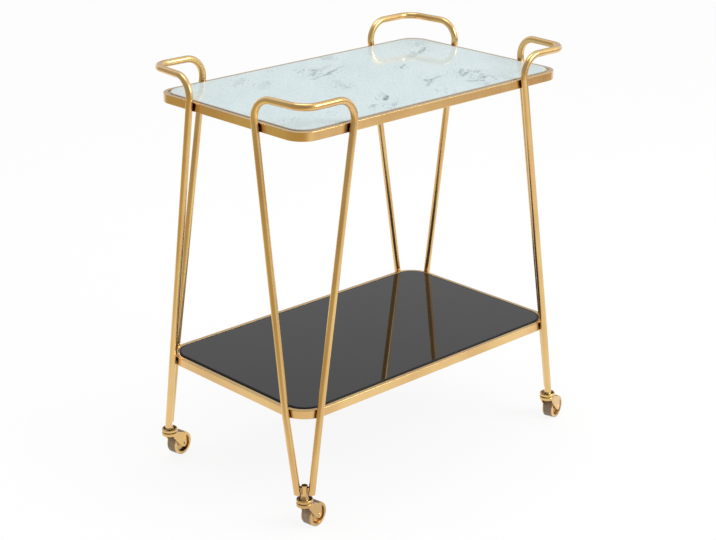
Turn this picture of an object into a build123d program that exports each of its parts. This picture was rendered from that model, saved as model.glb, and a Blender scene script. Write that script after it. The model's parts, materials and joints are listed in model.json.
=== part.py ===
"""Two-tier bar cart: four bent-tube corner legs, two ring-frame trays with glass shelves, swivel casters."""

import os
from math import cos, radians, sin, sqrt

from build123d import *

# Trays: two rings of oblong tube with rounded corners, heights above the floor
upper_length = 636.0
upper_width = 382.0
lower_length = 648.0
lower_width = 387.0
upper_top = 706.0
tray_spacing = 488.0
frame_height = 16.0
frame_depth = 8.0
frame_wall = 1.2
upper_corner = 36.0
lower_corner = 50.0
frame_edge = 1.2

# Glass shelves, their pads and the tabs welded inside the frames
glass_thickness = 5.0
glass_proud = 1.0
glass_seam = 0.6
upper_glass_gap = 1.0
lower_glass_gap = 2.0
upper_glass_ease = 7.0
lower_glass_ease = 0.0
upper_glass_shift = 0.0
lower_glass_shift = 1.2
pad_dia = 9.0
pad_height = 1.0
tab_length = 24.0
tab_reach = 14.0
tab_thickness = 2.0
tab_spacing = 300.0

# Legs: one bent tube per corner, which touches the outside of both frames
tube_dia = 12.7
tube_wall = 1.2
leg_clearance = 0.15
lean_clearance = 0.45
upper_inset_x = 108.5
upper_inset_y = 104.0
lower_inset_x = 35.5
lower_inset_y = 36.5
handle_rise = 43.0
handle_inset_x = 4.0
handle_reach_y = 8.0
handle_bend = 35.0
handle_corner = 30.0
knee_bend = 150.0
foot_height = 67.5
foot_inset_x = 6.0
foot_inset_y = 3.5

# Button-head screws from inside the frames into inserts in the tubes
screw_dia = 5.0
screw_head_dia = 9.5
screw_head_height = 2.7
screw_key = 3.0
screw_drop = 10.0
screw_clearance = 0.15
insert_dia = 7.6

# Sockets between the tube ends, for the caster stems
socket_dia = 11.0
socket_gap = 0.3
socket_rise = 17.5
socket_web_height = 10.0
socket_web_thickness = 5.0
weld_clearance = 0.05

# Caster stem, cup and fork
stem_dia = 8.0
stem_clearance = 0.05
stem_recess = 1.5
stem_chamfer = 0.6
collar_dia = 17.0
collar_step = 2.6
rivet_dia = 12.0
rivet_height = 2.4
cup_dia = 29.6
cup_height = 6.5
cup_floor = 2.4
cup_rim = 2.6
cup_round = 2.2
swivel_gap = 0.3
crown_thickness = 6.2
crown_dia = 29.6
crown_gap = 3.2
arm_thickness = 2.5
arm_end_radius = 6.0
horn_back = 3.0
horn_front = 5.5
horn_slope_start = 9.0
horn_drop = 11.5
horn_round = 5.0

# Caster wheel, tyre and axle
wheel_dia = 44.0
wheel_width = 21.0
wheel_trail = 24.0
wheel_clearance = 0.6
rim_thickness = 5.0
recess_depth = 5.5
hub_dia = 11.0
hub_clearance = 0.2
tread_width = 17.5
tread_thickness = 1.8
tread_edge = 1.0
axle_dia = 4.0
axle_clearance = 0.05
axle_seat = 0.02
axle_head_dia = 6.6
axle_head_height = 1.2
axle_dimple_dia = 3.2
axle_dimple_depth = 1.6

# Corners of the cart and the way each caster trails at rest, in degrees from +X
corners = {"front_left": (-1, -1), "front_right": (1, -1), "rear_left": (-1, 1), "rear_right": (1, 1)}
caster_heading = {"front_left": 9.0, "front_right": 14.0, "rear_left": 10.0, "rear_right": 11.0}

# Heights that follow from the sizes above
lower_top = upper_top - tray_spacing
tube_radius = tube_dia / 2
wheel_radius = wheel_dia / 2
foot_x = lower_length / 2 - foot_inset_x
foot_y = lower_width / 2 - foot_inset_y
foot_spread = (socket_dia + tube_dia) / 2 + socket_gap

# The casters trail to +X, so the trays sit off the middle of the cart's whole length
right_reach = foot_x + wheel_trail + wheel_radius
left_reach = lower_length / 2 + leg_clearance + tube_dia
cart_x = (left_reach - right_reach) / 2

# Caster heights, from the cup's underside down and up
socket_bottom = foot_height - socket_gap
cup_bottom = wheel_dia + crown_gap + crown_thickness + swivel_gap
crown_top = cup_bottom - swivel_gap
crown_bottom = crown_top - crown_thickness
collar_bottom = cup_bottom + cup_floor
arm_inner = wheel_width / 2 + wheel_clearance
arm_outer = arm_inner + arm_thickness

trays = {"upper": (upper_length, upper_width, upper_top), "lower": (lower_length, lower_width, lower_top)}
insets = {"upper": (upper_inset_x, upper_inset_y), "lower": (lower_inset_x, lower_inset_y)}
frame_corners = {"upper": upper_corner, "lower": lower_corner}
glass_gaps = {"upper": upper_glass_gap, "lower": lower_glass_gap}
glass_eases = {"upper": upper_glass_ease, "lower": lower_glass_ease}
glass_shifts = {"upper": upper_glass_shift, "lower": lower_glass_shift}

# The tubes lean, so those on the curve of the lower frame's corners stand a little further out
tube_offsets = {"upper": tube_radius + leg_clearance, "lower": tube_radius + leg_clearance + lean_clearance}


def save(builder, name):
    """Labels a finished piece and writes it."""
    builder.part.label = name
    export_step(builder.part, f"parts/{name}.step")


def face_point(half_along, half_across, corner, inset, tube_offset):
    """A point of the frame's outer face and the way out there, for a tube that stands inset from the end.

    Past the start of the rounded corner the tube leans on the curve, and its screw follows the radius.
    """
    if inset >= corner:
        return (half_along - inset, half_across), (0.0, 1.0)
    turn = (corner - inset) / (corner + tube_offset)
    away = sqrt(1 - turn**2)
    return (half_along - corner * (1 - turn), half_across - corner * (1 - away)), (turn, away)


def screw_points(tray, sx, sy):
    """Where one corner's long-side and short-side tubes meet a frame: points on its face and the ways out."""
    length, width, top = trays[tray]
    inset_x, inset_y = insets[tray]
    corner = frame_corners[tray]
    offset = tube_offsets[tray]
    z = top - screw_drop
    (along, across), (turn, away) = face_point(length / 2, width / 2, corner, inset_x, offset)
    on_long = Vector(cart_x + sx * along, sy * across, z), Vector(sx * turn, sy * away, 0)
    (along, across), (turn, away) = face_point(width / 2, length / 2, corner, inset_y, offset)
    on_short = Vector(cart_x + sx * across, sy * along, z), Vector(sx * away, sy * turn, 0)
    return on_long, on_short


def tube_crossings(tray, sx, sy):
    """Points on the tube axes where the two tubes of one corner cross a frame."""
    return [point + outward * tube_offsets[tray] for point, outward in screw_points(tray, sx, sy)]


def foot_ends(sx, sy):
    """Points on the axes of the two tube ends, on both sides of the caster's axis."""
    side = foot_spread * cos(radians(45))
    long_end = Vector(cart_x + sx * (foot_x - side), sy * (foot_y + side), foot_height)
    short_end = Vector(cart_x + sx * (foot_x + side), sy * (foot_y - side), foot_height)
    return long_end, short_end


def line_at_height(low, high, z):
    """The point at height z on the line through two points."""
    return low + (high - low) * ((z - low.Z) / (high.Z - low.Z))


def leg_route(sx, sy):
    """Corner points of one leg's axis, from the long-side foot over the handle to the short-side foot."""
    long_low, short_low = tube_crossings("lower", sx, sy)
    long_high, short_high = tube_crossings("upper", sx, sy)
    long_foot, short_foot = foot_ends(sx, sy)
    below = foot_height - tube_dia
    handle_z = upper_top + handle_rise
    apex_x = upper_length / 2 - handle_inset_x
    apex_y = upper_width / 2 + handle_reach_y
    return [
        line_at_height(long_foot, long_low, below),
        long_low,
        line_at_height(long_low, long_high, handle_z),
        Vector(cart_x + sx * apex_x, sy * apex_y, handle_z),
        line_at_height(short_low, short_high, handle_z),
        short_low,
        line_at_height(short_foot, short_low, below),
    ]


def make_leg(sx, sy):
    """One bent tube: two legs and the corner handle, with threaded inserts for the frame screws."""
    with BuildPart() as leg:
        with BuildLine() as axis:
            FilletPolyline(
                *leg_route(sx, sy),
                radius=[knee_bend, handle_bend, handle_corner, handle_bend, knee_bend],
            )
        with BuildSketch(Plane(origin=axis.line @ 0, z_dir=axis.line % 0)):
            Circle(tube_radius)
            Circle(tube_radius - tube_wall, mode=Mode.SUBTRACT)
        sweep()
        split(bisect_by=Plane.XY.offset(foot_height), keep=Keep.TOP)
        for tray in trays:
            for point, outward in screw_points(tray, sx, sy):
                seat = Plane(origin=point + outward * tube_offsets[tray], z_dir=-outward)
                with BuildSketch(seat):
                    Circle(insert_dia / 2)
                extrude(amount=tube_radius - tube_wall / 2)
                with BuildSketch(seat):
                    Circle(screw_dia / 2 + screw_clearance)
                extrude(amount=tube_dia, mode=Mode.SUBTRACT)
    return leg


def make_frame(tray):
    """One tray's ring of oblong tube, hollow, drilled for its screws."""
    length, width, top = trays[tray]
    corner = frame_corners[tray]
    inner_corner = corner - frame_depth
    inner_length = length - 2 * frame_depth
    inner_width = width - 2 * frame_depth
    with BuildPart() as frame:
        with BuildSketch(Plane((cart_x, 0, top - frame_height))):
            RectangleRounded(length, width, corner)
            RectangleRounded(inner_length, inner_width, inner_corner, mode=Mode.SUBTRACT)
        extrude(amount=frame_height)
        rims = frame.faces().filter_by(Axis.Z)
        fillet(rims.edges(), radius=frame_edge)
        with BuildSketch(Plane((cart_x, 0, top - frame_height + frame_wall))):
            RectangleRounded(length - 2 * frame_wall, width - 2 * frame_wall, corner - frame_wall)
            RectangleRounded(
                inner_length + 2 * frame_wall,
                inner_width + 2 * frame_wall,
                inner_corner + frame_wall,
                mode=Mode.SUBTRACT,
            )
        extrude(amount=frame_height - 2 * frame_wall, mode=Mode.SUBTRACT)
        for sx, sy in corners.values():
            for point, outward in screw_points(tray, sx, sy):
                with BuildSketch(Plane(origin=point, z_dir=-outward)):
                    Circle(screw_dia / 2 + screw_clearance)
                extrude(amount=2 * frame_depth, mode=Mode.SUBTRACT)
    return frame


def make_glass(tray):
    """One glass shelf, with seamed edges and eased corners, that stands a little proud of its frame."""
    length, width, top = trays[tray]
    inset = frame_depth + glass_gaps[tray]
    glass_corner = frame_corners[tray] - inset + glass_eases[tray]
    with BuildPart() as glass:
        with BuildSketch(Plane((cart_x + glass_shifts[tray], 0, top + glass_proud - glass_thickness))):
            RectangleRounded(length - 2 * inset, width - 2 * inset, glass_corner)
        extrude(amount=glass_thickness)
        chamfer(glass.faces().filter_by(Axis.Z).edges(), length=glass_seam)
    return glass


def tab_places(tray):
    """Centre of each tab's outer edge on the frame's inner face, with the way it reaches."""
    length, width, top = trays[tray]
    inner_x = length / 2 - frame_depth
    inner_y = width / 2 - frame_depth
    z = top + glass_proud - glass_thickness - pad_height - tab_thickness
    places = []
    for side in (-1, 1):
        for end in (-1, 1):
            places.append((Vector(cart_x + end * tab_spacing / 2, side * inner_y, z), Vector(0, -side, 0)))
        places.append((Vector(cart_x + side * inner_x, 0, z), Vector(-side, 0, 0)))
    return places


def make_tabs(tray):
    """The flat tabs welded inside one frame that carry its glass."""
    with BuildPart() as tabs:
        for point, inward in tab_places(tray):
            with BuildSketch(Plane(origin=point + inward * (tab_reach / 2), x_dir=inward, z_dir=(0, 0, 1))):
                Rectangle(tab_reach, tab_length)
            extrude(amount=tab_thickness)
    return tabs


def make_pads(tray):
    """The clear round pads between one frame's tabs and its glass."""
    with BuildPart() as pads:
        for point, inward in tab_places(tray):
            middle = point + inward * ((glass_gaps[tray] + tab_reach) / 2)
            with BuildSketch(Plane(origin=middle + Vector(0, 0, tab_thickness), z_dir=(0, 0, 1))):
                Circle(pad_dia / 2)
            extrude(amount=pad_height)
    return pads


def make_screws(tray):
    """The button-head screws of one frame: head on the inner face, end on the tube's axis."""
    inner_corner = frame_corners[tray] - frame_depth
    hollow = inner_corner - sqrt(inner_corner**2 - (screw_head_dia / 2) ** 2)
    under_head = frame_depth + (hollow if min(insets[tray]) < frame_corners[tray] else 0.0)
    length = under_head + tube_offsets[tray]
    with BuildPart() as screws:
        for sx, sy in corners.values():
            for point, outward in screw_points(tray, sx, sy):
                seat = Plane(origin=point - outward * under_head, z_dir=outward)
                with BuildSketch(seat):
                    Circle(screw_dia / 2)
                extrude(amount=length)
                with BuildSketch(seat):
                    Circle(screw_head_dia / 2)
                extrude(amount=-screw_head_height, taper=20)
                with BuildSketch(seat.offset(-screw_head_height)):
                    RegularPolygon(screw_key / 2, 6, major_radius=False)
                extrude(amount=screw_head_height * 0.6, mode=Mode.SUBTRACT)
    return screws


def make_socket(sx, sy):
    """The threaded sleeve between two tube ends, with the webs that are welded to them."""
    axis = Vector(cart_x + sx * foot_x, sy * foot_y, 0)
    with BuildPart() as socket:
        with BuildSketch(Plane(origin=axis + Vector(0, 0, socket_bottom))):
            Circle(socket_dia / 2)
        extrude(amount=socket_rise)
        across = Vector(sx, -sy, 0)
        web_bottom = socket_bottom + (socket_rise - socket_web_height) / 2
        with BuildSketch(Plane(origin=axis + Vector(0, 0, web_bottom), x_dir=across, z_dir=(0, 0, 1))):
            Rectangle(2 * foot_spread, socket_web_thickness)
        extrude(amount=socket_web_height)
        for low, high in zip(foot_ends(sx, sy), tube_crossings("lower", sx, sy)):
            start = line_at_height(low, high, foot_height - tube_dia)
            with BuildSketch(Plane(origin=start, z_dir=high - low)):
                Circle(tube_radius + weld_clearance)
            extrude(amount=(high - low).length / 2, mode=Mode.SUBTRACT)
        with BuildSketch(Plane(origin=axis + Vector(0, 0, socket_bottom))):
            Circle(stem_dia / 2 + stem_clearance)
        extrude(amount=socket_rise, mode=Mode.SUBTRACT)
    return socket


def upright_section(sx, sy):
    """Plane through a caster's swivel axis: local x is the radius, local y the height above the floor."""
    return Plane(origin=(cart_x + sx * foot_x, sy * foot_y, 0), x_dir=(1, 0, 0), z_dir=(0, -1, 0))


def swivel_axis(sx, sy):
    """The upright axis that one caster swivels about."""
    return Axis((cart_x + sx * foot_x, sy * foot_y, 0), (0, 0, 1))


def make_stem(sx, sy):
    """The caster's stem: its end just below the socket's top, a flared collar, and the riveted pivot."""
    radius = stem_dia / 2
    rivet_top = crown_bottom - swivel_gap
    top = socket_bottom + socket_rise - stem_recess
    with BuildPart() as stem:
        with BuildSketch(upright_section(sx, sy)):
            with BuildLine():
                Polyline(
                    (socket_dia / 2, socket_bottom),
                    (radius, socket_bottom),
                    (radius, top - stem_chamfer),
                    (radius - stem_chamfer, top),
                    (0, top),
                    (0, rivet_top - rivet_height),
                    (rivet_dia / 2 - rivet_height / 2, rivet_top - rivet_height),
                    (rivet_dia / 2, rivet_top - rivet_height / 2),
                    (rivet_dia / 2, rivet_top),
                    (radius, rivet_top),
                    (radius, collar_bottom),
                    (collar_dia / 2, collar_bottom),
                    (collar_dia / 2, collar_bottom + collar_step),
                )
                RadiusArc(
                    (collar_dia / 2, collar_bottom + collar_step),
                    (socket_dia / 2, socket_bottom),
                    collar_dia,
                )
            make_face()
        revolve(axis=swivel_axis(sx, sy))
    return stem


def make_cup(sx, sy):
    """The dished washer on the stem that the fork swivels under."""
    bore = stem_dia / 2 + stem_clearance
    outer = cup_dia / 2
    rim_inner = outer - cup_rim
    with BuildPart() as cup:
        with BuildSketch(upright_section(sx, sy)) as section:
            with BuildLine():
                Polyline(
                    (bore, cup_bottom),
                    (outer, cup_bottom),
                    (outer, cup_bottom + cup_height),
                    (rim_inner, cup_bottom + cup_height),
                    (rim_inner - (cup_height - cup_floor) / 2, cup_bottom + cup_floor),
                    (bore, cup_bottom + cup_floor),
                    close=True,
                )
            make_face()
            outside = section.vertices().group_by(Axis.X)[-1]
            fillet(outside, radius=cup_round)
        revolve(axis=swivel_axis(sx, sy))
    return cup


def caster_plane(sx, sy, heading):
    """Plane through a caster's swivel axis: local x is the trail, local y the height, the normal sideways."""
    trail = Vector(cos(radians(heading)), sin(radians(heading)), 0)
    side = Vector(sin(radians(heading)), -cos(radians(heading)), 0)
    return Plane(origin=(cart_x + sx * foot_x, sy * foot_y, 0), x_dir=trail, z_dir=side)


def axle_plane(sx, sy, heading):
    """Plane on the axle: local x runs along the axle and local y straight up, from the wheel's centre."""
    upright = caster_plane(sx, sy, heading)
    centre = upright.from_local_coords(Vector(wheel_trail, wheel_radius, 0))
    return Plane(origin=centre, x_dir=upright.z_dir * -1, z_dir=upright.x_dir)


def roll_axis(sx, sy, heading):
    """The axle's line through the wheel's centre."""
    plane = axle_plane(sx, sy, heading)
    return Axis(plane.origin, plane.x_dir)


def make_fork(sx, sy, heading):
    """The fork: a round crown on the pivot and two curved horns down to the axle."""
    upright = caster_plane(sx, sy, heading)
    crown = Plane(origin=upright.origin + Vector(0, 0, crown_bottom))
    axle = (wheel_trail, wheel_radius)
    slant = arm_end_radius * cos(radians(45))
    heel = (wheel_trail - slant, wheel_radius - slant)
    sole = (wheel_trail, wheel_radius - arm_end_radius)
    toe = (wheel_trail + arm_end_radius, wheel_radius)
    shoulder = (wheel_trail + horn_front, crown_top - horn_drop)
    horn_top = crown_top - crown_thickness / 3
    with BuildPart() as fork:
        with BuildSketch(crown):
            Circle(crown_dia / 2)
        extrude(amount=crown_thickness)
        fillet(fork.edges().group_by(Axis.Z)[-1], radius=crown_thickness / 3)
        for near in (arm_inner, -arm_outer):
            with BuildSketch(upright.offset(near)) as horn:
                with BuildLine():
                    Polyline(
                        shoulder,
                        (horn_slope_start, horn_top),
                        (-horn_back, horn_top),
                        (-horn_back, crown_bottom),
                    )
                    RadiusArc((-horn_back, crown_bottom), heel, -3 * wheel_radius)
                    ThreePointArc(heel, sole, toe)
                    Line(toe, shoulder)
                make_face()
                fillet(horn.vertices().sort_by(Axis.X)[-1], radius=horn_round)
            extrude(amount=arm_thickness)
        with BuildSketch(crown):
            Circle(stem_dia / 2 + axle_clearance)
        extrude(amount=crown_thickness, mode=Mode.SUBTRACT)
        with BuildSketch(upright.offset(-arm_outer)):
            with Locations(axle):
                Circle(axle_dia / 2 + axle_seat)
        extrude(amount=2 * arm_outer, mode=Mode.SUBTRACT)
    return fork


def make_axle(sx, sy, heading):
    """The axle: a pin riveted over on the outside of both arms, with dimpled ends."""
    plane = axle_plane(sx, sy, heading)
    end = arm_outer + axle_head_height
    dimple = axle_dimple_dia / 2
    with BuildPart() as axle:
        with BuildSketch(plane):
            with BuildLine():
                Polyline(
                    (axle_dimple_depth - end, 0),
                    (end - axle_dimple_depth, 0),
                    (end, dimple),
                    (end, axle_dia / 2),
                    (arm_outer, axle_head_dia / 2),
                    (arm_outer, axle_dia / 2),
                    (-arm_outer, axle_dia / 2),
                    (-arm_outer, axle_head_dia / 2),
                    (-end, axle_dia / 2),
                    (-end, dimple),
                    close=True,
                )
            make_face()
        revolve(axis=roll_axis(sx, sy, heading))
    return axle


def ring_rectangle(width, inner, outer, middle=0.0, mode=Mode.ADD):
    """A rectangle of a wheel's half section: width along the axle, between two radii."""
    with Locations((middle, (inner + outer) / 2)):
        Rectangle(width, outer - inner, mode=mode)


def make_wheel(sx, sy, heading):
    """The wheel: a raised rim round a recessed web, a hub, and a groove for the tyre."""
    bore = axle_dia / 2 + axle_clearance
    rim_inner = wheel_radius - rim_thickness
    hub_width = 2 * (arm_inner - hub_clearance)
    with BuildPart() as wheel:
        with BuildSketch(axle_plane(sx, sy, heading)) as section:
            ring_rectangle(wheel_width, bore, wheel_radius)
            corners_of_rim = section.vertices().group_by(Axis.Y)[-1]
            fillet(corners_of_rim, radius=tread_edge)
            for side in (-1, 1):
                middle = side * (wheel_width - recess_depth) / 2
                ring_rectangle(recess_depth, hub_dia / 2, rim_inner, middle, mode=Mode.SUBTRACT)
            ring_rectangle(hub_width, bore, hub_dia / 2)
            ring_rectangle(tread_width, wheel_radius - tread_thickness, wheel_radius, mode=Mode.SUBTRACT)
        revolve(axis=roll_axis(sx, sy, heading))
    return wheel


def make_tyre(sx, sy, heading):
    """The grey tread band in the wheel's groove."""
    with BuildPart() as tyre:
        with BuildSketch(axle_plane(sx, sy, heading)):
            ring_rectangle(tread_width, wheel_radius - tread_thickness, wheel_radius)
        revolve(axis=roll_axis(sx, sy, heading))
    return tyre


os.makedirs("parts", exist_ok=True)

for tray in trays:
    save(make_frame(tray), f"{tray}_tray_frame")
    save(make_glass(tray), f"{tray}_glass_shelf")
    save(make_tabs(tray), f"{tray}_glass_tabs")
    save(make_pads(tray), f"{tray}_glass_pads")
    save(make_screws(tray), f"{tray}_frame_screws")

for corner, (sx, sy) in corners.items():
    heading = caster_heading[corner]
    save(make_leg(sx, sy), f"leg_{corner}")
    save(make_socket(sx, sy), f"caster_socket_{corner}")
    save(make_stem(sx, sy), f"caster_stem_{corner}")
    save(make_cup(sx, sy), f"caster_cup_{corner}")
    save(make_fork(sx, sy, heading), f"caster_fork_{corner}")
    save(make_axle(sx, sy, heading), f"caster_axle_{corner}")
    save(make_wheel(sx, sy, heading), f"caster_wheel_{corner}")
    save(make_tyre(sx, sy, heading), f"caster_tyre_{corner}")
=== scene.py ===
import json
import math
import random

import bmesh
import bpy
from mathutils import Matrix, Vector


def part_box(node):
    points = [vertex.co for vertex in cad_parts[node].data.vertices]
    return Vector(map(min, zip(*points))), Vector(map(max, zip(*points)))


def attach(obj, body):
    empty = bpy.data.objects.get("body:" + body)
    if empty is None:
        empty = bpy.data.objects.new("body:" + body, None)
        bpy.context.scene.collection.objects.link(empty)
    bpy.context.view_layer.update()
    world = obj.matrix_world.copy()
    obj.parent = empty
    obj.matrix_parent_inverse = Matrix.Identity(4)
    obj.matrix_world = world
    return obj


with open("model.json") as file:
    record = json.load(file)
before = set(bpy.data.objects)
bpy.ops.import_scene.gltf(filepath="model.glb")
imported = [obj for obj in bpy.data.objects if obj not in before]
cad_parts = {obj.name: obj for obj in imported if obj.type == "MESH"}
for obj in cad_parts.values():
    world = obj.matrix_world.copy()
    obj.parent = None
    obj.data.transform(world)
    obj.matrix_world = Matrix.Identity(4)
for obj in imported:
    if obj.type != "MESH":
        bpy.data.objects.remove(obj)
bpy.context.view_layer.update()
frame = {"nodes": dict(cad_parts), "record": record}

nodes = frame["nodes"]

# Camera: where the photographer stood, in metres and degrees in the cart's frame, and the lens in mm
CAMERA_PLACE = (-2.02498, -2.1197, 1.4357)
CAMERA_YAW = 43.313
CAMERA_PITCH = 20.47
CAMERA_LENS = 84.5
SENSOR_WIDTH = 36.0
VIEW_REACH = 50.0


def make_camera():
    data = bpy.data.cameras.new("camera")
    data.sensor_fit = "HORIZONTAL"
    data.sensor_width = SENSOR_WIDTH
    data.lens = CAMERA_LENS
    data.clip_end = VIEW_REACH
    camera = bpy.data.objects.new("camera", data)
    camera.location = CAMERA_PLACE
    camera.rotation_euler = (math.radians(90 - CAMERA_PITCH), 0.0, math.radians(-CAMERA_YAW))
    bpy.context.scene.collection.objects.link(camera)
    bpy.context.scene.camera = camera


# Sockets of a Mix node that mixes colours
MIX_FACTOR, MIX_FIRST, MIX_SECOND = 0, 6, 7
MIX_RESULT = 2
# Samples for the mask of the painted corner shade
CREVICE_SHADE_SAMPLES = 8
ORIGIN = (0.0, 0.0, 0.0)
AXIS_X, AXIS_Y, AXIS_Z = (1.0, 0.0, 0.0), (0.0, 1.0, 0.0), (0.0, 0.0, 1.0)
IN_PLAN = (1.0, 1.0, 0.0)


class Graph:
    """A material's node tree, with short calls for the nodes used here."""

    def __init__(self, tree):
        self.tree = tree
        tree.nodes.clear()

    def node(self, kind, **values):
        made = self.tree.nodes.new(kind)
        for key, value in values.items():
            setattr(made, key, value)
        return made

    def link(self, source, target):
        self.tree.links.new(source, target)

    def feed(self, socket, value):
        """Sets a socket, or links it if the value is another node's output."""
        if isinstance(value, bpy.types.NodeSocket):
            self.link(value, socket)
        else:
            socket.default_value = value

    def math(self, operation, a, b=0.0, c=0.0, clamp=False):
        made = self.node("ShaderNodeMath", operation=operation, use_clamp=clamp)
        for socket, value in zip(made.inputs, (a, b, c)):
            self.feed(socket, value)
        return made.outputs[0]

    def vector(self, operation, a, b=ORIGIN):
        made = self.node("ShaderNodeVectorMath", operation=operation)
        self.feed(made.inputs[0], a)
        self.feed(made.inputs[1], b)
        return made.outputs["Value" if operation in ("DOT_PRODUCT", "LENGTH") else "Vector"]

    def place(self, scale=(1.0, 1.0, 1.0), rotation=ORIGIN, offset=ORIGIN):
        """Positions on the object, in metres, stretched and turned."""
        coordinates = self.node("ShaderNodeTexCoord")
        mapping = self.node("ShaderNodeMapping")
        mapping.inputs["Location"].default_value = offset
        mapping.inputs["Rotation"].default_value = rotation
        mapping.inputs["Scale"].default_value = scale
        self.link(coordinates.outputs["Object"], mapping.inputs["Vector"])
        return mapping.outputs[0]

    def noise(self, where, scale, detail=4.0, roughness=0.5, distortion=0.0, output="Fac"):
        made = self.node("ShaderNodeTexNoise")
        self.feed(made.inputs["Vector"], where)
        made.inputs["Scale"].default_value = scale
        made.inputs["Detail"].default_value = detail
        made.inputs["Roughness"].default_value = roughness
        made.inputs["Distortion"].default_value = distortion
        return made.outputs[output]

    def between(self, value, low, high, to_low=0.0, to_high=1.0):
        """Eases from to_low to to_high while the value goes from low to high."""
        made = self.node("ShaderNodeMapRange", interpolation_type="SMOOTHSTEP", clamp=True)
        self.feed(made.inputs["Value"], value)
        made.inputs["From Min"].default_value = low
        made.inputs["From Max"].default_value = high
        made.inputs["To Min"].default_value = to_low
        made.inputs["To Max"].default_value = to_high
        return made.outputs[0]

    def mix(self, factor, a, b):
        made = self.node("ShaderNodeMix", data_type="RGBA")
        self.feed(made.inputs[MIX_FACTOR], factor)
        self.feed(made.inputs[MIX_FIRST], a)
        self.feed(made.inputs[MIX_SECOND], b)
        return made.outputs[MIX_RESULT]

    def bump(self, height, strength, distance):
        made = self.node("ShaderNodeBump")
        made.inputs["Strength"].default_value = strength
        made.inputs["Distance"].default_value = distance
        self.feed(made.inputs["Height"], height)
        return made.outputs[0]

    def crevice(self, reach):
        """1 in the open and 0 deep in a corner, within a reach in metres: the mask of the painted corner
        shade.
        """
        made = self.node("ShaderNodeAmbientOcclusion", samples=CREVICE_SHADE_SAMPLES)
        made.inputs["Distance"].default_value = reach
        return made.outputs["AO"]

    def surface(self, **values):
        """The Principled surface with its output. Names are the sockets' names with underscores."""
        shader = self.node("ShaderNodeBsdfPrincipled")
        output = self.node("ShaderNodeOutputMaterial")
        self.link(shader.outputs[0], output.inputs["Surface"])
        for key, value in values.items():
            self.feed(shader.inputs[key.replace("_", " ")], value)


def new_material(name):
    material = bpy.data.materials.new(name)
    material.use_nodes = True
    return material, Graph(material.node_tree)


def colour(red, green, blue):
    """A colour written as it looks on screen, from 0 to 255, as the renderer's linear values."""
    def linear(value):
        value /= 255
        return value / 12.92 if value <= 0.04045 else ((value + 0.055) / 1.055) ** 2.4
    return (linear(red), linear(green), linear(blue), 1.0)


# Gold: noise scales per metre, the shares of grain and wipe marks, ranges of tone and gloss, and the lacquer
GOLD_DRIFT = 9.0
GOLD_GRAIN = 900.0
GOLD_WIPE = 70.0
WIPE_STRETCH = (1.0, 1.0, 0.12)
GRAIN_SHARE = 0.2
WIPE_SHARE = 0.6
TONE_RANGE = (0.35, 0.65)
GLOSS_RANGE = (0.35, 0.68)
GRAIN_BUMP = (0.01, 0.0002)
LACQUER_ROUGHNESS = 0.22
LACQUER_IOR = 1.65
# Light tone, deep tone, least and most roughness
TUBE_LOOK = (colour(234, 194, 120), colour(219, 174, 102), (0.21, 0.28))
CASTER_LOOK = (colour(230, 186, 106), colour(203, 157, 80), (0.2, 0.28))
# Painted shade: crevices between the tubes and the frames, and within the casters, are painted nearly black
# for the shade in them; reach in metres
TUBE_SHADE_REACH = 0.009
CASTER_SHADE_REACH = 0.011
CREVICE_SHADE_RANGE = (0.25, 0.88)
CREVICE_SHADE_COLOUR = (0.065, 0.025, 0.005, 1.0)


def gold_material(name, look, reach):
    """Satin gold plating: slow drifts of tone, faint wipe marks in the gloss, and painted shade that turns
    the corners nearly black.
    """
    light, deep, rough = look
    material, g = new_material(name)
    where = g.place()
    drift = g.noise(where, GOLD_DRIFT, detail=3.0)
    grain = g.noise(where, GOLD_GRAIN, detail=2.0)
    wipe = g.noise(g.place(scale=WIPE_STRETCH), GOLD_WIPE, detail=3.0, roughness=0.55)
    tone = g.math("MULTIPLY_ADD", grain, GRAIN_SHARE, g.math("MULTIPLY", drift, 1.0 - GRAIN_SHARE))
    gloss = g.math("MULTIPLY_ADD", wipe, WIPE_SHARE, g.math("MULTIPLY", drift, 1.0 - WIPE_SHARE))
    # Painted shade: deep in corners the base colour turns to the near-black shade colour
    unshaded = g.between(g.crevice(reach), *CREVICE_SHADE_RANGE)
    g.surface(
        Base_Color=g.mix(unshaded, CREVICE_SHADE_COLOUR, g.mix(g.between(tone, *TONE_RANGE), deep, light)),
        Metallic=1.0,
        Roughness=g.between(gloss, *GLOSS_RANGE, *rough),
        Normal=g.bump(grain, *GRAIN_BUMP),
        Coat_Weight=1.0,
        Coat_Roughness=LACQUER_ROUGHNESS,
        Coat_IOR=LACQUER_IOR,
    )
    return material


# How much of a vein's half width is its dark core
VEIN_CORE = 0.1


def stroke(g, where, start, end, width):
    """How much a vein from start to end, in plan, covers a point: 1 on its line, fading at its ends."""
    start, end = Vector(start), Vector(end)
    length = (end - start).length
    along = (end - start) / length
    local = g.vector("SUBTRACT", where, (start.x, start.y, 0.0))
    run = g.vector("DOT_PRODUCT", local, (along.x, along.y, 0.0))
    aside = g.math("ABSOLUTE", g.vector("DOT_PRODUCT", local, (-along.y, along.x, 0.0)))
    past = g.math("MAXIMUM", g.math("MULTIPLY", run, -1.0), g.math("SUBTRACT", run, length))
    return g.between(g.math("MAXIMUM", aside, past), VEIN_CORE * width, width, 1.0, 0.0)


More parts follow.
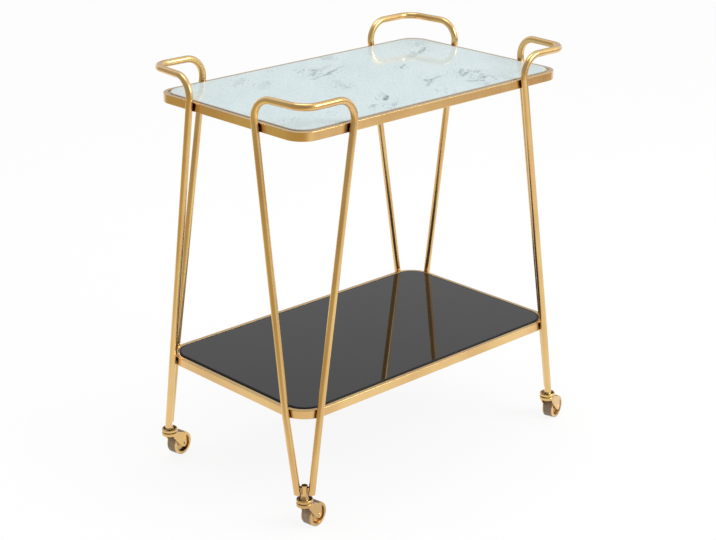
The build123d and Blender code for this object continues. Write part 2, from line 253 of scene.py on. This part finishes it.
# Veins of the printed marble, in plan: start, end, half width in metres, and how dark
VEINS = (
    ((-0.084, -0.129), (-0.064, -0.112), 0.0050, 1.00),
    ((-0.064, -0.112), (-0.058, -0.094), 0.0055, 0.30),
    ((-0.099, -0.167), (-0.086, -0.154), 0.0050, 0.40),
    ((-0.130, -0.145), (-0.122, -0.141), 0.0060, 0.45),
    ((-0.060, 0.086), (-0.024, 0.113), 0.0085, 0.42),
    ((-0.079, 0.063), (-0.057, 0.069), 0.0050, 0.45),
    ((-0.057, 0.069), (-0.036, 0.069), 0.0055, 0.35),
    ((-0.036, 0.070), (-0.004, 0.088), 0.0050, 0.70),
    ((-0.004, 0.088), (0.028, 0.098), 0.0050, 0.35),
    ((-0.012, 0.111), (0.018, 0.121), 0.0060, 0.25),
    ((0.044, 0.158), (0.063, 0.176), 0.0090, 0.28),
    ((0.093, 0.011), (0.123, 0.033), 0.0040, 0.55),
    ((0.038, -0.111), (0.066, -0.091), 0.0045, 0.55),
    ((0.058, -0.086), (0.066, -0.079), 0.0045, 0.60),
    ((0.071, -0.084), (0.104, -0.076), 0.0050, 0.55),
    ((0.135, -0.100), (0.155, -0.094), 0.0060, 0.45),
    ((0.148, -0.085), (0.172, -0.066), 0.0055, 0.50),
    ((0.168, -0.086), (0.186, -0.098), 0.0065, 0.32),
    ((0.116, -0.136), (0.133, -0.147), 0.0055, 0.50),
    ((0.146, -0.135), (0.160, -0.129), 0.0080, 0.40),
    ((0.166, -0.150), (0.174, -0.134), 0.0060, 0.28),
    ((0.117, -0.178), (0.126, -0.166), 0.0050, 0.35),
    ((0.206, 0.078), (0.246, 0.101), 0.0055, 0.60),
    ((0.178, 0.070), (0.198, 0.080), 0.0110, 0.30),
    ((0.246, 0.126), (0.268, 0.136), 0.0100, 0.20),
    ((-0.210, 0.121), (-0.190, 0.131), 0.0080, 0.25),
    ((-0.184, 0.139), (-0.166, 0.150), 0.0080, 0.25),
    ((-0.185, 0.074), (-0.150, 0.104), 0.0110, 0.17),
    ((-0.076, -0.026), (-0.058, 0.022), 0.0090, 0.20),
)
# Clusters of small flecks: centre, reach in metres, and how dark
CLUSTERS = (
    ((-0.185, 0.125), 0.050, 0.5),
    ((-0.150, 0.095), 0.035, 0.4),
    ((-0.040, 0.105), 0.050, 0.8),
    ((-0.020, 0.080), 0.040, 0.6),
    ((-0.070, -0.010), 0.045, 0.5),
    ((-0.080, -0.120), 0.045, 0.5),
    ((-0.110, -0.160), 0.050, 0.7),
    ((0.155, -0.095), 0.055, 0.9),
    ((0.145, -0.145), 0.055, 0.8),
    ((0.080, -0.085), 0.035, 0.5),
    ((0.030, -0.155), 0.040, 0.5),
    ((0.215, 0.085), 0.040, 0.7),
    ((0.255, 0.130), 0.045, 0.5),
    ((0.105, 0.020), 0.035, 0.4),
    ((0.050, 0.165), 0.040, 0.5),
    ((-0.085, 0.165), 0.040, 0.4),
    ((-0.285, -0.115), 0.030, 0.5),
    ((-0.210, -0.130), 0.030, 0.4),
)
# How the stone's grain lies, and how noise makes its clouds, specks, flecks and the ragged run of its veins
STONE_TURN = math.radians(-40.0)
STONE_STRETCH = (1.0, 2.6, 1.0)
CLOUD_SCALE, CLOUD_RANGE = 9.0, (0.3, 0.7)
SPECK_SCALE, SPECK_RANGE = 85.0, (0.47, 0.6)
FLECK_SCALE, FLECK_RANGE = 78.0, (0.53, 0.6)
STRAY_FLECKS = 0.12
CLUSTER_CORE = 0.2
RAGGED_SCALE, RAGGED_SHIFT = 55.0, 0.015
BREAK_SCALE, BREAK_RANGE, BREAK_LEVELS = 170.0, (0.36, 0.6), (0.35, 1.0)
VEIN_SPREAD = 1.25
# Colours of the print, with the strength of each layer over the clouds; the edge colour is painted shade of
# the gap to the frame
CLOUD_COLOURS = (colour(203, 218, 220), colour(209, 223, 224))
SPECK_LAYER = (0.14, colour(168, 182, 187))
FLECK_LAYER = (0.72, colour(124, 137, 144))
VEIN_LAYER = (0.95, colour(84, 95, 102))
GAP_SHADE_COLOUR = colour(172, 162, 143)
SMEAR_SCALE, SMEAR_RANGE, SMEAR_ROUGHNESS = 14.0, (0.3, 0.7), (0.05, 0.085)
GLASS_IOR = 1.5
PRINT_GLOSS = 0.16
# Borders of the glass in metres, how softly each ends, and the shelves' corner radii; the first border is
# the width of the painted gap shade
GAP_SHADE_WIDTH, GAP_SHADE_SOFT = 0.0022, 0.3
GROUND_BORDER, GROUND_SOFT = 0.003, 0.2
UPPER_CORNER = 0.034
LOWER_CORNER = 0.040


def glass_edge(g, shelf, corner):
    """How far a point of a shelf is inside its rounded outline, in plan."""
    low, high = (Vector(end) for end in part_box(shelf))
    middle, half = (low + high) / 2, (high - low) / 2
    local = g.vector("ABSOLUTE", g.place(offset=(-middle.x, -middle.y, 0.0), scale=IN_PLAN))
    past = g.vector("SUBTRACT", local, (half.x - corner, half.y - corner, 0.0))
    round_part = g.vector("LENGTH", g.vector("MAXIMUM", past, ORIGIN))
    along_x = g.vector("DOT_PRODUCT", past, AXIS_X)
    along_y = g.vector("DOT_PRODUCT", past, AXIS_Y)
    flat_part = g.math("MINIMUM", g.math("MAXIMUM", along_x, along_y), 0.0)
    return g.math("SUBTRACT", corner, g.math("ADD", round_part, flat_part))


def marble_material():
    """Glass over a printed pale marble: cool white clouds, broken grey veins, and a painted grey-brown shade
    band at the edge for the gap to the frame.
    """
    material, g = new_material("marble_glass")
    plain = g.place()
    turned = g.place(rotation=(0.0, 0.0, STONE_TURN))
    slanted = g.vector("MULTIPLY", turned, STONE_STRETCH)
    warp = g.noise(plain, RAGGED_SCALE, detail=5.0, output="Color")
    shift = g.vector("SCALE", g.vector("SUBTRACT", warp, (0.5, 0.5, 0.5)))
    shift.node.inputs["Scale"].default_value = RAGGED_SHIFT
    ragged = g.vector("ADD", plain, shift)
    flat = g.vector("MULTIPLY", ragged, IN_PLAN)
    clouds = g.between(g.noise(slanted, CLOUD_SCALE, detail=4.0, roughness=0.55), *CLOUD_RANGE)
    mottle = g.noise(slanted, SPECK_SCALE, detail=4.0, roughness=0.6, distortion=0.3)
    specks = g.between(mottle, *SPECK_RANGE)
    chips = g.noise(slanted, FLECK_SCALE, detail=3.0, roughness=0.6, distortion=0.5)
    patch = STRAY_FLECKS
    for centre, reach, dark in CLUSTERS:
        away = g.vector("LENGTH", g.vector("SUBTRACT", flat, (*centre, 0.0)))
        patch = g.math("MAXIMUM", patch, g.between(away, CLUSTER_CORE * reach, reach, dark, 0.0))
    flecks = g.math("MULTIPLY", g.between(chips, *FLECK_RANGE), patch)
    gaps = g.noise(plain, BREAK_SCALE, detail=4.0, roughness=0.7)
    veins = 0.0
    for start, end, width, dark in VEINS:
        cover = g.math("MULTIPLY", stroke(g, ragged, start, end, VEIN_SPREAD * width), dark)
        veins = g.math("MAXIMUM", veins, cover)
    veins = g.math("MULTIPLY", veins, g.between(gaps, *BREAK_RANGE, *BREAK_LEVELS))
    tone = g.mix(clouds, *CLOUD_COLOURS)
    for cover, (strength, ink) in ((specks, SPECK_LAYER), (flecks, FLECK_LAYER), (veins, VEIN_LAYER)):
        tone = g.mix(g.math("MULTIPLY", cover, strength), tone, ink)
    inside = glass_edge(g, "upper_glass_shelf", UPPER_CORNER)
    clear_of_gap_shade = g.between(inside, (1 - GAP_SHADE_SOFT) * GAP_SHADE_WIDTH, (1 + GAP_SHADE_SOFT) * GAP_SHADE_WIDTH)
    # Painted shade: a grey-brown band along the glass edge, for the shaded gap to the frame
    tone = g.mix(clear_of_gap_shade, GAP_SHADE_COLOUR, tone)
    smear = g.between(g.noise(plain, SMEAR_SCALE, detail=3.0), *SMEAR_RANGE, *SMEAR_ROUGHNESS)
    g.surface(Base_Color=tone, Roughness=smear, IOR=GLASS_IOR, Specular_IOR_Level=PRINT_GLOSS)
    return material


# Black glass: linear colours of its depth and edge, wipe marks in the polish, the matte of the ground border
DEPTH_SCALE = 30.0
DEPTH_COLOURS = ((0.0035, 0.0035, 0.004, 1.0), (0.006, 0.006, 0.0065, 1.0))
EDGE_COLOUR = (0.012, 0.014, 0.013, 1.0)
LEVEL_RANGE = (0.5, 0.95)
WIPED_TURN, WIPED_STRETCH, WIPED_SCALE = 0.5, (1.0, 5.0, 1.0), 11.0
WIPED_RANGE, WIPED_ROUGHNESS = (0.3, 0.7), (0.012, 0.035)
GROUND_ROUGHNESS = 0.8
BLACK_GLOSS = 0.58


def black_glass_material():
    """Black glass: nearly no colour of its own, faint wipe marks, a matte border, a grey-green edge."""
    material, g = new_material("black_glass")
    wiped = g.place(rotation=(0.0, 0.0, WIPED_TURN), scale=WIPED_STRETCH)
    wipe = g.noise(wiped, WIPED_SCALE, detail=4.0)
    normal = g.node("ShaderNodeNewGeometry").outputs["Normal"]
    flat = g.between(g.math("ABSOLUTE", g.vector("DOT_PRODUCT", normal, AXIS_Z)), *LEVEL_RANGE)
    inside = glass_edge(g, "lower_glass_shelf", LOWER_CORNER)
    border = ((1 - GROUND_SOFT) * GROUND_BORDER, (1 + GROUND_SOFT) * GROUND_BORDER)
    ground = g.between(inside, *border, GROUND_ROUGHNESS, 0.0)
    depth = g.mix(g.noise(g.place(), DEPTH_SCALE), *DEPTH_COLOURS)
    g.surface(
        Base_Color=g.mix(flat, EDGE_COLOUR, depth),
        Roughness=g.math("MAXIMUM", g.between(wipe, *WIPED_RANGE, *WIPED_ROUGHNESS), ground),
        IOR=GLASS_IOR,
        Specular_IOR_Level=BLACK_GLOSS,
    )
    return material


# Tread, pads and screws: noise scales per metre, tones and roughness
SCUFF_SCALE, SCUFF_RANGE, SCUFF_BUMP = 260.0, (0.4, 0.7), (0.12, 0.0005)
TREAD_DRIFT = 40.0
TREAD_COLOURS = (colour(112, 91, 68), colour(146, 121, 92))
SCUFF_COLOUR = colour(162, 139, 110)
TREAD_ROUGHNESS = (0.42, 0.6)
MILK_SCALE = 300.0
PAD_COLOURS = (colour(214, 218, 218), colour(232, 234, 234))
MARK_SCALE, MARK_RANGE = 900.0, (0.3, 0.7)
SCREW_COLOURS = (colour(150, 150, 148), colour(186, 186, 182))
SCREW_ROUGHNESS = (0.28, 0.45)


def tread_material():
    """Grey-brown rubber tread with scuffs."""
    material, g = new_material("grey_tread")
    where = g.place()
    scuff = g.between(g.noise(where, SCUFF_SCALE, detail=5.0, roughness=0.7), *SCUFF_RANGE)
    base = g.mix(g.noise(where, TREAD_DRIFT, detail=3.0), *TREAD_COLOURS)
    g.surface(
        Base_Color=g.mix(scuff, base, SCUFF_COLOUR),
        Roughness=g.between(scuff, 0.0, 1.0, *TREAD_ROUGHNESS),
        Normal=g.bump(scuff, *SCUFF_BUMP),
    )
    return material


def pad_material():
    """Clear soft plastic, a little milky."""
    material, g = new_material("clear_pad")
    g.surface(
        Base_Color=g.mix(g.noise(g.place(), MILK_SCALE, detail=3.0), *PAD_COLOURS),
        Roughness=0.35,
        Transmission_Weight=0.5,
    )
    return material


def screw_material():
    """Zinc-plated steel with turning marks."""
    material, g = new_material("steel_screw")
    mark = g.noise(g.place(), MARK_SCALE, detail=3.0)
    g.surface(
        Base_Color=g.mix(mark, *SCREW_COLOURS),
        Metallic=1.0,
        Roughness=g.between(mark, *MARK_RANGE, *SCREW_ROUGHNESS),
    )
    return material


def dress_cad():
    """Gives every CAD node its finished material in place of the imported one, and returns them by slot."""
    by_slot = {
        "gold_tube": gold_material("gold_tube", TUBE_LOOK, TUBE_SHADE_REACH),
        "caster_brass": gold_material("caster_brass", CASTER_LOOK, CASTER_SHADE_REACH),
        "marble_glass": marble_material(),
        "black_glass": black_glass_material(),
        "grey_tread": tread_material(),
        "clear_pad": pad_material(),
        "steel_screw": screw_material(),
    }
    for entry in frame["record"]["subparts"]:
        mesh = nodes[entry["node"]].data
        mesh.materials.clear()
        mesh.materials.append(by_slot[entry["material_slot"]])
    return by_slot


# Welds that hold each caster socket between its two tube ends, in metres
CORNERS = {"front_left": (-1, -1), "front_right": (1, -1), "rear_left": (-1, 1), "rear_right": (1, 1)}
WELD_ASIDE = 0.0058
WELD_FORWARD = 0.0027
WELD_HALF_HEIGHT = 0.0055
WELD_RADIUS = 0.0021
WELD_RINGS = 30
WELD_SIDES = 14
SEED_STEP = 10
WELD_LEAN = 0.0006
RIPPLE_PITCH = 0.0017
RIPPLE_DEPTH = 0.12
WELD_UNEVEN = 0.06
# How square a bead's ends are, and the least share of its section that is left at the very end
END_POWER = 6
END_SHARE = 0.02


def add_bead(mesh, middle, across, forward, seed):
    """A lumpy upright bead of weld metal with rippled rings and round ends."""
    chance = random.Random(seed)
    rings = []
    turns = [2 * math.pi * side / WELD_SIDES for side in range(WELD_SIDES)]
    lean = chance.uniform(-WELD_LEAN, WELD_LEAN)
    for ring in range(WELD_RINGS + 1):
        run = 2 * ring / WELD_RINGS - 1
        height = run * WELD_HALF_HEIGHT
        ripple = RIPPLE_DEPTH * math.sin(2 * math.pi * height / RIPPLE_PITCH + seed)
        taper = math.sqrt(max(1 - run**END_POWER, END_SHARE))
        radius = WELD_RADIUS * taper * (1 + ripple + chance.uniform(-WELD_UNEVEN, WELD_UNEVEN))
        centre = middle + across * (lean * run) + Vector((0.0, 0.0, height))
        points = [centre + (across * math.cos(turn) + forward * math.sin(turn)) * radius for turn in turns]
        rings.append([mesh.verts.new(point) for point in points])
    for low, high in zip(rings, rings[1:]):
        for side in range(WELD_SIDES):
            after = (side + 1) % WELD_SIDES
            mesh.faces.new((low[side], low[after], high[after], high[side]))
    mesh.faces.new(list(reversed(rings[0])))
    mesh.faces.new(rings[-1])


def make_welds(material):
    """One piece per corner: the four beads in the valleys between a socket and its tube ends."""
    for count, (corner, (sx, sy)) in enumerate(CORNERS.items()):
        low, high = (Vector(end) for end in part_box(f"caster_stem_{corner}"))
        floor, top = (end[2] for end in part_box(f"caster_socket_{corner}"))
        axis = Vector(((low.x + high.x) / 2, (low.y + high.y) / 2, (floor + top) / 2))
        across = Vector((sx, -sy, 0.0)).normalized()
        forward = Vector((-across.y, across.x, 0.0))
        beads = bmesh.new()
        for number, (aside, ahead) in enumerate(((-1, -1), (-1, 1), (1, -1), (1, 1))):
            middle = axis + across * (aside * WELD_ASIDE) + forward * (ahead * WELD_FORWARD)
            add_bead(beads, middle, across, forward, SEED_STEP * count + number)
        bmesh.ops.recalc_face_normals(beads, faces=beads.faces)
        mesh = bpy.data.meshes.new(f"weld_beads_{corner}")
        beads.to_mesh(mesh)
        beads.free()
        for face in mesh.polygons:
            face.use_smooth = True
        mesh.materials.append(material)
        piece = bpy.data.objects.new(mesh.name, mesh)
        bpy.context.scene.collection.objects.link(piece)
        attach(piece, "cart")


# Stage: a pale floor that keeps the shadow, a white surround and soft lamps
WHITE = (1.0, 1.0, 1.0, 1.0)
FLOOR_SIZE = 14.0
FLOOR_GLOW = 0.86
FLOOR_LEVEL = 1.02
FLOOR_GRAIN = 3.0
FLOOR_GREYS = ((0.8, 0.8, 0.8, 1.0), (0.84, 0.84, 0.84, 1.0))
SURROUND_DIFFUSE = 0.8
# Lamps: place, aim and size in metres, and watts
LAMPS = {
    "key": ((1.5, -3.0, 2.6), (0.0, 0.0, 0.4), (2.0, 1.5), 66.0),
    "top": ((-0.2, 0.4, 3.2), (0.0, 0.0, 0.4), (1.6, 1.6), 14.0),
}

# Mirrored rays alone see parts of this room darker than the camera does, for the darks in the gold
# On the surround: direction, the cosines to it where the shade starts and is full, and the shade's depth
LEFT_WALL = ((-1.0, 0.0, 0.0), (-0.1, 0.6), 0.58)
UPPER_BACK = ((0.65, 0.65, 0.39), (0.75, 0.97), 0.4)
CAMERA_SIDE = ((-0.65, -0.65, 0.39), (0.6, 0.92), 0.6)
# On the floor: direction, metres along it where the shade starts and is full, depth, and its brown
FLOOR_LEFT = (AXIS_X, (-0.45, -1.5), 0.5, (1.0, 0.8, 0.32, 1.0))
FLOOR_FRONT = ((0.7071, -0.7071, 0.0), (2.6, 3.15), 0.78, (1.0, 0.45, 0.12, 1.0))


def ray_kinds(g):
    """1 for rays that show the background, straight, mirrored or through glass, and 1 for mirrored ones."""
    path = g.node("ShaderNodeLightPath")
    mirrored = path.outputs["Is Glossy Ray"]
    shown = g.math("ADD", path.outputs["Is Camera Ray"], mirrored)
    return g.math("ADD", shown, path.outputs["Is Transmission Ray"], clamp=True), mirrored


def make_floor():
    half = FLOOR_SIZE / 2
    mesh = bpy.data.meshes.new("floor")
    corners = [(-half, -half, 0), (half, -half, 0), (half, half, 0), (-half, half, 0)]
    mesh.from_pydata(corners, [], [(0, 1, 2, 3)])
    floor = bpy.data.objects.new("floor", mesh)
    bpy.context.scene.collection.objects.link(floor)
    material, g = new_material("floor")
    shown, mirrored = ray_kinds(g)
    matte = g.node("ShaderNodeBsdfDiffuse")
    g.link(g.mix(g.noise(g.place(), FLOOR_GRAIN), *FLOOR_GREYS), matte.inputs["Color"])
    place = g.node("ShaderNodeNewGeometry").outputs["Position"]
    tint, level = WHITE, FLOOR_LEVEL
    for direction, reach, depth, brown in (FLOOR_LEFT, FLOOR_FRONT):
        along = g.vector("DOT_PRODUCT", place, direction)
        shade = g.math("MULTIPLY", g.between(along, *reach), mirrored)
        tint = g.mix(shade, tint, brown)
        level = g.math("MULTIPLY_ADD", shade, -depth, level)
    glow = g.node("ShaderNodeEmission")
    g.link(tint, glow.inputs["Color"])
    g.link(level, glow.inputs["Strength"])
    blend = g.node("ShaderNodeMixShader")
    g.link(g.math("MULTIPLY", shown, FLOOR_GLOW), blend.inputs[0])
    g.link(matte.outputs[0], blend.inputs[1])
    g.link(glow.outputs[0], blend.inputs[2])
    output = g.node("ShaderNodeOutputMaterial")
    g.link(blend.outputs[0], output.inputs["Surface"])
    mesh.materials.append(material)


def make_surround():
    world = bpy.data.worlds.new("surround")
    bpy.context.scene.world = world
    world.use_nodes = True
    g = Graph(world.node_tree)
    shown, mirrored = ray_kinds(g)
    ray = g.node("ShaderNodeTexCoord").outputs["Generated"]
    left, back, near = (
        g.between(g.vector("DOT_PRODUCT", ray, direction), *reach, 0.0, depth)
        for direction, reach, depth in (LEFT_WALL, UPPER_BACK, CAMERA_SIDE)
    )
    dark = g.math("MAXIMUM", g.math("ADD", left, back), near)
    shade = g.math("MULTIPLY", dark, mirrored)
    level = g.math("MULTIPLY_ADD", shown, 1.0 - SURROUND_DIFFUSE, SURROUND_DIFFUSE)
    level = g.math("MULTIPLY", level, g.math("SUBTRACT", 1.0, shade))
    background = g.node("ShaderNodeBackground")
    background.inputs["Color"].default_value = WHITE
    g.link(level, background.inputs["Strength"])
    output = g.node("ShaderNodeOutputWorld")
    g.link(background.outputs[0], output.inputs["Surface"])


def make_lamp(name, place, aim, size, watts):
    data = bpy.data.lights.new(name, "AREA")
    data.shape = "RECTANGLE"
    data.size, data.size_y = size
    data.energy = watts
    lamp = bpy.data.objects.new(name, data)
    lamp.location = place
    lamp.rotation_euler = (Vector(aim) - Vector(place)).to_track_quat("-Z", "Y").to_euler()
    bpy.context.scene.collection.objects.link(lamp)


def make_stage():
    make_floor()
    make_surround()
    for name, lamp in LAMPS.items():
        make_lamp(name, *lamp)


bpy.context.scene.view_settings.view_transform = "Standard"
make_camera()
finishes = dress_cad()
make_welds(finishes["gold_tube"])
make_stage()


def plain(corners):
    return [[float(value) for value in corner] for corner in corners]
